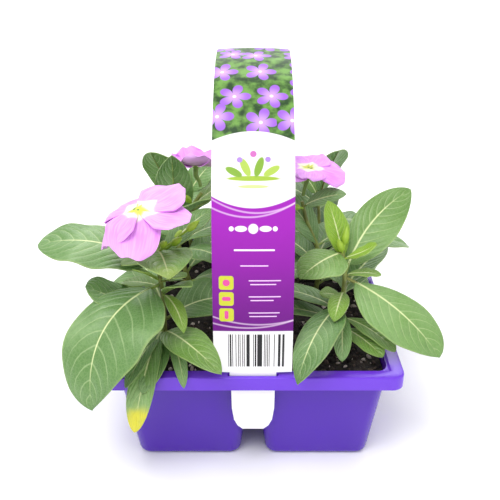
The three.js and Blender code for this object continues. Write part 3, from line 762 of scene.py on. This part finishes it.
def pointOnStem(points, height):
    for a, b in zip(points, points[1:]):
        if b[2] >= height:
            break
    t = (height - a[2]) / (b[2] - a[2])
    return Vector([p + (q - p) * t for p, q in zip(a, b)])


def addLeaf(start, leafPlan, chance):
    tip, width = Vector(leafPlan["tip"]), leafPlan["width"]
    chord = tip - start
    span = chord.length
    chord.normalize()
    across = chord.cross(Vector((0, 0, 1))).normalized()
    across.rotate(Matrix.Rotation(math.radians(leafPlan.get("roll", 0)), 3, chord))
    up = across.cross(chord)
    frameOf = Matrix((chord, -across, up)).transposed().to_4x4()
    frameOf.translation = start * mm
    # the bending curve lies in the leaf's own upright plane
    rise = leafPlan["rise"]
    ends = bender.data.splines[0].bezier_points
    pull = Vector((span / 2, -2 * leafPlan.get("sway", 0), 2 * rise))
    for end, spot, out in ((ends[0], Vector((0, 0, 0)), 1), (ends[1], Vector((span, 0, 0)), -1)):
        end.handle_left_type = end.handle_right_type = "FREE"
        arm = (pull - spot) * (2 / 3)
        end.co = spot * mm
        end.handle_right = (spot + arm * out) * mm
        end.handle_left = (spot - arm * out) * mm
        end.radius, end.tilt = 1, 0
    arc = bender.data.splines[0].calc_length()
    form = tuple(leafPlan.get(key, blade[key]) for key in ("belly", "skew", "lop", "fold", "point"))
    if form not in blades:
        blades[form] = makeBlade(*form)
    leaf = copyOf(blades[form], "leaf")
    wave = blade["wave"] * chance.uniform(0.6, 1.4)
    turns, start0, twist = chance.uniform(1.6, 3.0), chance.uniform(0, 6), chance.uniform(-0.07, 0.07)
    for vertex in leaf.data.vertices:
        s, w = vertex.co.x, vertex.co.y
        edge = w * abs(w)
        vertex.co.z += wave * edge * math.sin(turns * 2 * math.pi * s + start0) + twist * w * s
    # how far each point is from the midrib, in millimetres
    field = leaf.data.attributes.new("off", "FLOAT", "POINT")
    field.data.foreach_set("value", [abs(vertex.co.y) * width / 2 for vertex in leaf.data.vertices])
    leaf.scale = (arc * (1 - blade["petiole"]), width / 2 * mm, width / 2 * mm)
    leaf.location = (arc * blade["petiole"], 0, 0)
    settle(leaf)
    bend = leaf.modifiers.new("bend", "CURVE")
    bend.object, bend.deform_axis = bender, "POS_X"
    wall = leaf.modifiers.new("wall", "SOLIDIFY")
    wall.thickness, wall.offset = blade["thickness"] * mm, 0
    applyAll(leaf)
    leaf.matrix_world = frameOf
    settle(leaf)
    young = leafPlan.get("young", min(0.5, max(0.0, (17 - width) / 14)))
    marked(leaf, young=young, tone=chance.uniform(0.1, 0.9), ripe=leafPlan.get("ripe", 0.0))
    setPaint(leaf, leafSkin)
    # petiole and midrib in one thin rod
    rod = copyOf(bender, "rod")
    rod.data.bevel_depth, rod.data.bevel_resolution, rod.data.resolution_u = 1 * mm, 2, 14
    rod.data.use_fill_caps = True
    size = min(1, 0.45 + width / 45)
    rod.data.splines[0].bezier_points[0].radius = blade["petioleRadius"] * size
    rod.data.splines[0].bezier_points[1].radius = blade["tipRadius"]
    useOnly(rod)
    bpy.ops.object.convert(target="MESH")
    rod = bpy.context.object
    for vertex in rod.data.vertices:
        vertex.co.z -= blade["rodSink"] * mm * min(1, vertex.co.x / (0.14 * arc))
    rod.matrix_world = frameOf
    settle(rod)
    marked(rod, young=young, tone=chance.uniform(0.0, 0.5))
    setPaint(rod, stemSkin)
    return [leaf, rod]


bud = {"rings": 15, "sides": 10, "radius": 1.6, "head": 5.6, "stalk": 0.36, "turn": 1.6, "neck": 0.25}


def addBud(start, tip):
    # a thin stalk with a pointed, twisted head
    tip = Vector(tip)
    length = (tip - start).length
    headShare = min(0.8, bud["head"] * bud["radius"] / length)
    bpy.ops.mesh.primitive_cylinder_add(vertices=bud["sides"], radius=1, depth=1, location=(0, 0, 0.5),
                                        end_fill_type="TRIFAN")
    piece = bpy.context.object
    piece.name = "bud"
    settle(piece)
    openEdit(piece)
    pick(lambda e: abs(e.verts[0].co.z - e.verts[1].co.z) > 0.9, "EDGE")
    bpy.ops.mesh.subdivide(number_cuts=bud["rings"])
    closeEdit()
    for vertex in piece.data.vertices:
        x, y, t = vertex.co
        up = max(0.0, (t - bud["neck"]) / (1 - bud["neck"]))
        height = t / bud["neck"] * (1 - headShare) if up == 0 else 1 - headShare + up * headShare
        swell = max(0.1, bud["stalk"] * (1 - up) + 0.9 * max(0.0, math.sin(math.pi * up ** 0.8)) ** 0.9)
        swell *= 1 + 0.12 * math.cos(5 * math.atan2(y, x)) * min(1, up * 3)
        angle = bud["turn"] * up
        vertex.co = ((x * math.cos(angle) - y * math.sin(angle)) * swell * bud["radius"] * mm,
                     (x * math.sin(angle) + y * math.cos(angle)) * swell * bud["radius"] * mm,
                     height * length * mm)
    turn = (tip - start).to_track_quat("Z", "Y").to_matrix().to_4x4()
    piece.matrix_world = Matrix.Translation(start * mm) @ turn
    settle(piece)
    marked(piece, young=1.0, tone=0.0)
    setPaint(piece, stemSkin)
    return piece


stemSize = {"foot": 1.75, "top": 0.95}


def pipeAlong(spots, radii, paint):
    # a round pipe through the spots, as thick at each as its radius
    bpy.ops.curve.primitive_nurbs_path_add()
    pipe = bpy.context.object
    pipe.data.splines.clear()
    spline = pipe.data.splines.new("POLY")
    spline.points.add(len(spots) - 1)
    for point, spot, radius in zip(spline.points, spots, radii):
        point.co, point.radius = (*(spot * mm), 1), radius
    pipe.data.bevel_depth, pipe.data.bevel_resolution = 1 * mm, 4
    pipe.data.use_fill_caps = True
    useOnly(pipe)
    bpy.ops.object.convert(target="MESH")
    pipe = bpy.context.object
    setPaint(pipe, paint)
    return pipe


def addStem(points):
    fine = []
    for a, b in zip(points, points[1:]):
        fine += [Vector(a).lerp(Vector(b), k / 4) for k in range(4)]
    fine.append(Vector(points[-1]))
    smooth = [(fine[i - 1] + fine[i] * 2 + fine[i + 1]) / 4 for i in range(1, len(fine) - 1)]
    smooth = [fine[0], *smooth, fine[-1]]
    foot, thinning, last = stemSize["foot"], stemSize["top"] - stemSize["foot"], len(smooth) - 1
    stem = pipeAlong(smooth, [foot + thinning * (i / last) for i in range(last + 1)], stemSkin)
    marked(stem, young=0.3, tone=0.35)
    return stem


# Flowers: five broad petals that overlap, round a narrow tube
petal = {"columns": 18, "rows": 14, "tilt": 1.1, "thickness": 0.45, "ripple": 0.6, "dish": 0.9, "start": 0.6,
         "round": (1.6, 2.6), "ruffle": 0.4}
throat = {"radius": 1.4, "mouth": 2.4, "seat": 3.3}
petalSkin, petalBack, throatSkin = petalPaint(), underPaint(), throatPaint()


def petalHalf(t):
    return min(1.05, 0.16 + 1.7 * t ** 0.85) * math.sqrt(1 - 0.72 * t ** 7) if t > 0.02 else 0.16


def addFlower(name, stemTop, plan, node, chance):
    centre, facing = Vector(plan["centre"]), Vector(plan["facing"]).normalized()
    right = (Vector((1, 0, 0)) - facing * facing.x).normalized()
    ahead = facing.cross(right)
    pieces = []
    for k in range(5):
        angle = math.radians(plan["angles"][k])
        out = right * math.cos(angle) + ahead * math.sin(angle)
        side = out.cross(facing)
        bpy.ops.mesh.primitive_grid_add(x_subdivisions=petal["columns"], y_subdivisions=petal["rows"], size=2)
        piece = bpy.context.object
        piece.name = "petal"
        phase, waves = chance.uniform(0, 6), chance.uniform(1.2, 2.2)
        for vertex in piece.data.vertices:
            t, u = (vertex.co.x + 1) / 2, vertex.co.y
            half = plan["width"] / 2 * petalHalf(t)
            lift = (petal["tilt"] + plan["tilt"][k]) * u * t
            lift -= petal["dish"] * u * u * t
            lift -= plan["droop"][k] * t * t
            lift += petal["ripple"] * t * t * math.sin(waves * math.pi * u + phase)
            reach = petal["start"] + plan["reach"][k] * t
            reach -= u * u * (petal["round"][0] + petal["round"][1] * t) * t
            reach -= petal["ruffle"] * t ** 6 * math.cos(5 * u)
            vertex.co = (centre + out * reach + side * (u * half) + facing * lift) * mm
        wall = piece.modifiers.new("wall", "SOLIDIFY")
        wall.thickness, wall.offset = petal["thickness"] * mm, 0
        wall.material_offset = wall.material_offset_rim = 1
        setPaint(piece, petalBack, petalSkin)
        applyAll(piece)
        pieces.append(piece)
    down = (stemTop - centre).normalized()
    seat = stemTop - down * throat["seat"]
    spots = [seat, seat - down * 3, centre - facing * 6, centre - facing * 1.5, centre + facing * 0.2]
    radii = [1.0, 1.0, throat["radius"], throat["radius"] * 1.1, throat["mouth"]]
    pieces.append(pipeAlong(spots, radii, throatSkin))
    flower = joinAll(pieces, name)
    finish(flower, "petals", node, angle=60)


# Seedlings: where each leaf leaves its stem, its tip, how high it arches, its width, and its looks
def leafAt(at, tip, rise, width, **looks):
    return {"at": at, "tip": tip, "rise": rise, "width": width, **looks}


seedlings = {
    "front_left": {
        "stem": [(-42, -57, 34), (-42, -57, 50), (-45, -58, 62), (-44, -60, 80), (-45, -62, 96),
                 (-45, -63, 108)],
        "leaves": [
            leafAt(99, (-101.9, -60, 110), 8, 31, lop=-0.06, roll=-12, belly=0.56, skew=0.1, fold=-0.06,
                   point=1.2, young=0),
            leafAt(90, (-74, -101, 45), 16, 44, lop=-0.22, roll=-4, sway=4, belly=0.46, skew=0.1, fold=0.08,
                   young=0),
            leafAt(108, (-36, -94, 109), 3, 27, belly=0.45, point=1.8, young=0.2, ripe=0.15),
            leafAt(61, (-14, -104, 67), 7, 18, roll=10, sway=2, belly=0.5, young=0.25),
            leafAt(60, (-59, -95, 53), 8, 8, sway=-2, young=0),
            leafAt(62, (-51, -98, 52), 5, 12, sway=-3, young=0),
            leafAt(64, (-55, -103, 34), 13, 13, sway=-2, belly=0.6, young=0.1, ripe=1),
            leafAt(61, (-32, -95, 53), 6, 7, sway=-1, young=0),
            leafAt(84, (-28, -80, 98), 2, 12, belly=0.5),
            leafAt(84, (-32, -84, 76), 3, 8, sway=-1, belly=0.5, young=0.7),
            leafAt(78, (-79, -70, 93), -3, 20, roll=-15, belly=0.66),
            leafAt(88, (-65, -52, 86), 1, 12),
            leafAt(102, (-60, -76, 107), 1, 10, young=0.3),
            leafAt(91, (-31, -76, 101), 1, 9, young=0.4),
            leafAt(102, (-20, -34, 118), 3, 16),
            leafAt(68, (-9, -42, 71), 6, 28, roll=15),
            leafAt(76, (-62, -24, 84), 5, 16),
            leafAt(92, (-57, -72, 103), 1, 9, young=0.7),
        ],
        "buds": [(105, (-33, -46, 113)), (106, (-47, -56, 116)), (107, (-24, -71, 127)),
                 (106, (-32, -74, 120)), (107, (-39, -76, 119))],
        "flower": {"centre": (-50, -79, 135), "facing": (0, -0.23, 1), "angles": (-97, -8, 44, 138, 212),
                   "width": 23, "droop": (11, 2, -2, 7, 13),
                   "reach": (20, 23, 24, 16, 18), "tilt": (0, 0, 0, 0, -7)},
    },
    "front_right": {
        "stem": [(46, -56, 34), (46, -56, 50), (44, -57, 67), (45, -58, 91), (43, -58, 106)],
        "leaves": [
            leafAt(93, (80, -27, 126), 2, 23, lop=0.22, roll=28, sway=-5, belly=0.48, skew=-0.02, fold=0.08,
                   point=1.35, young=0.15),
            leafAt(100, (36, -46, 127), 1, 14, belly=0.52, young=0.9),
            leafAt(102, (58, -64, 112), -1, 10, roll=10, young=0.9),
            leafAt(105, (22, -70, 97), 3, 21, lop=-0.2, roll=-20, belly=0.48, skew=0.12, young=0.2),
            leafAt(86, (69, -30, 97), 2, 20, lop=-0.4, roll=15),
            leafAt(92, (91, -74, 56), 5, 28, lop=0.25, roll=32, sway=-2, belly=0.53, skew=-0.13, young=0.1),
            leafAt(93, (62, -60, 94), 1, 8),
            leafAt(77, (20, -102, 60), 5, 21, lop=-0.25, roll=12, sway=1, belly=0.45, young=0),
            leafAt(74, (42, -85, 61), 3, 9, young=0),
            leafAt(69, (69, -75, 60), 3, 13, young=0.3),
            leafAt(63, (62, -80, 60), 2, 13, young=0.3),
            leafAt(84, (38, -79, 79), 2, 10, belly=0.5),
            leafAt(80, (33, -57, 82), 1, 11, young=0.5),
            leafAt(72, (10, -38, 75), 3, 16, young=0),
            leafAt(66, (9, -48, 70), 2, 14, young=0),
            leafAt(80, (59, -20, 84), 4, 22),
        ],
        "buds": [(104, (45, -54, 117)), (104, (40, -62, 114))],
    },
    "middle_left": {
        "stem": [(-34, 0, 34), (-34, 0, 50), (-40, -2, 72), (-43, -2, 90), (-36, -2, 104), (-28, -1, 115)],
        "leaves": [
            leafAt(86, (-66, 6, 94), 5, 24),
            leafAt(90, (-42, -14, 140), 2, 21, belly=0.5, point=1.75, young=0),
            leafAt(104, (-12, 10, 118), 2, 13),
            leafAt(98, (-21, -24, 120), 2, 17, belly=0.5),
            leafAt(74, (-88, 4, 80), 8, 28),
            leafAt(60, (-80, -16, 62), 6, 24),
            leafAt(84, (-3, 8, 92), 5, 26),
            leafAt(60, (0, -12, 66), 5, 22),
            leafAt(86, (-56, 36, 96), 5, 24),
            leafAt(66, (-14, 36, 76), 5, 22),
            leafAt(80, (-12, -32, 86), 4, 25),
        ],
        "buds": [(108, (-37, -10, 117))],
        "flower": {"centre": (-31, 2, 130), "facing": (0.05, 0.12, 1), "angles": (-75, -15, 45, 115, 190),
                   "width": 19, "droop": (-8, -8, -8, -7, -5),
                   "reach": (17, 17, 17, 16, 13), "tilt": (0, 0, 0, 0, 0)},
    },
    "middle_right": {
        "stem": [(36, 0, 34), (36, 0, 50), (38, -2, 66), (37, -3, 82), (30, -2, 98), (27, -1, 110)],
        "leaves": [
            leafAt(82, (15, 5, 112), 4, 19, roll=-25, young=0),
            leafAt(107, (50, -9, 117), 2, 12, roll=30, belly=0.5, young=0),
            leafAt(78, (54, 40, 80), 3, 22),
            leafAt(76, (88, 2, 82), 8, 26, lop=0.2, belly=0.66),
            leafAt(58, (72, 16, 58), 6, 22),
            leafAt(62, (5, 16, 66), 5, 22),
            leafAt(70, (14, 30, 76), 4, 20),
            leafAt(105, (8, -8, 114), 1, 14, roll=-20, young=0),
            leafAt(64, (62, -24, 66), 5, 20),
            leafAt(84, (64, 12, 88), 3, 18),
            leafAt(66, (14, -28, 76), 4, 24),
        ],
        "buds": [(106, (20, -11, 111))],
        "flower": {"centre": (30, 0, 129), "facing": (0.02, -0.12, 1), "angles": (-98, -5, 67, 139, 211),
                   "width": 19, "droop": (0, 4, -1, 0, 1),
                   "reach": (14, 20, 17, 17, 18), "tilt": (0, -5, 0, 0, 0)},
    },
    "back_left": {
        "stem": [(-40, 57, 34), (-40, 57, 50), (-42, 58, 72), (-41, 58, 98)],
        "leaves": [
            leafAt(66, (-95, 58, 70), 7, 28),
            leafAt(82, (-56, 104, 50), 14, 32),
            leafAt(62, (-25, 103, 62), 5, 20),
            leafAt(62, (-3, 62, 66), 5, 23),
            leafAt(86, (-12, 74, 98), 4, 22),
            leafAt(70, (-85, 90, 62), 8, 25),
            leafAt(84, (-61, 42, 125), 2, 22, roll=40, sway=3, belly=0.6, young=0.1),
            leafAt(92, (-26, 62, 112), 2, 18, roll=35),
            leafAt(88, (-72, 44, 86), 4, 20),
            leafAt(92, (-36, 30, 96), 3, 18),
            leafAt(64, (-66, 34, 60), 4, 18),
        ],
        "buds": [(96, (-43, 62, 106))],
    },
    "back_right": {
        "stem": [(42, 56, 34), (42, 56, 50), (43, 57, 74), (41, 57, 96)],
        "leaves": [
            leafAt(64, (101, 66, 54), 7, 27),
            leafAt(80, (44, 104, 50), 14, 32),
            leafAt(66, (88, 88, 52), 6, 26),
            leafAt(60, (22, 102, 58), 6, 15),
            leafAt(62, (5, 46, 68), 5, 22),
            leafAt(84, (12, 74, 94), 4, 22),
            leafAt(88, (51, 42, 126), 2, 22, lop=-0.2, belly=0.66, young=0),
            leafAt(90, (30, 70, 104), 2, 14),
            leafAt(72, (80, 66, 68), 4, 24),
            leafAt(86, (16, 38, 92), 3, 16),
            leafAt(60, (72, 28, 68), 3, 17),
        ],
        "buds": [(94, (44, 62, 104))],
    },
}

for place, plan in seedlings.items():
    chance = random.Random(len(place) * 31 + ord(place[0]) + ord(place[-1]))
    pieces = [addStem(plan["stem"])]
    for leafPlan in plan["leaves"]:
        pieces += addLeaf(pointOnStem(plan["stem"], leafPlan["at"]), leafPlan, chance)
    for height, tip in plan["buds"]:
        pieces.append(addBud(pointOnStem(plan["stem"], height), tip))
    seedling = joinAll(pieces, f"leafyStem_{place}")
    finish(seedling, "foliage", f"seedling_{place}", angle=60)
    if "flower" in plan:
        addFlower(f"bloom_{place}", Vector(plan["stem"][-1]), plan["flower"], f"flower_{place}", chance)
    print("grown", place, len(seedling.data.polygons))
for spare in (*blades.values(), bender):
    remove(spare)

# Floor and light
studio = {"floor": 12, "sky": 0.8, "key": 12, "fill": 1.5, "back": 60}
bpy.context.scene.view_settings.view_transform = "Standard"
bpy.ops.mesh.primitive_plane_add(size=studio["floor"], location=(0, 0, 0))
floor = bpy.context.object
floor.name = "paleFloor"
floorPaint = Paint("floorPaper", 0.9)
paper = floorPaint.blend(floorPaint.noise(3, 2), "#FCFCFC", "#FFFFFF")
setPaint(floor, floorPaint.set(Base_Color=paper))
world = bpy.context.scene.world or bpy.data.worlds.new("studio")
bpy.context.scene.world = world
world.use_nodes = True
sky = world.node_tree.nodes["Background"].inputs
sky["Color"].default_value, sky["Strength"].default_value = (1, 1, 1, 1), studio["sky"]
for name, place, size, power in (("keyLight", (-0.35, -0.55, 1.25), 0.8, studio["key"]),
                                 ("fillLight", (0.9, -0.5, 0.7), 1.0, studio["fill"]),
                                 ("backLight", (0, 2.4, 1.8), 2.5, studio["back"])):
    bpy.ops.object.light_add(type="AREA", location=place)
    lamp = bpy.context.object
    lamp.name = name
    lamp.data.energy, lamp.data.size = power, size
    aim = Vector((0, place[1], 0)) if name == "backLight" else Vector((0, 0, 0.08))
    lamp.rotation_euler = (aim - Vector(place)).to_track_quat("-Z", "Y").to_euler()
print("studio lit")
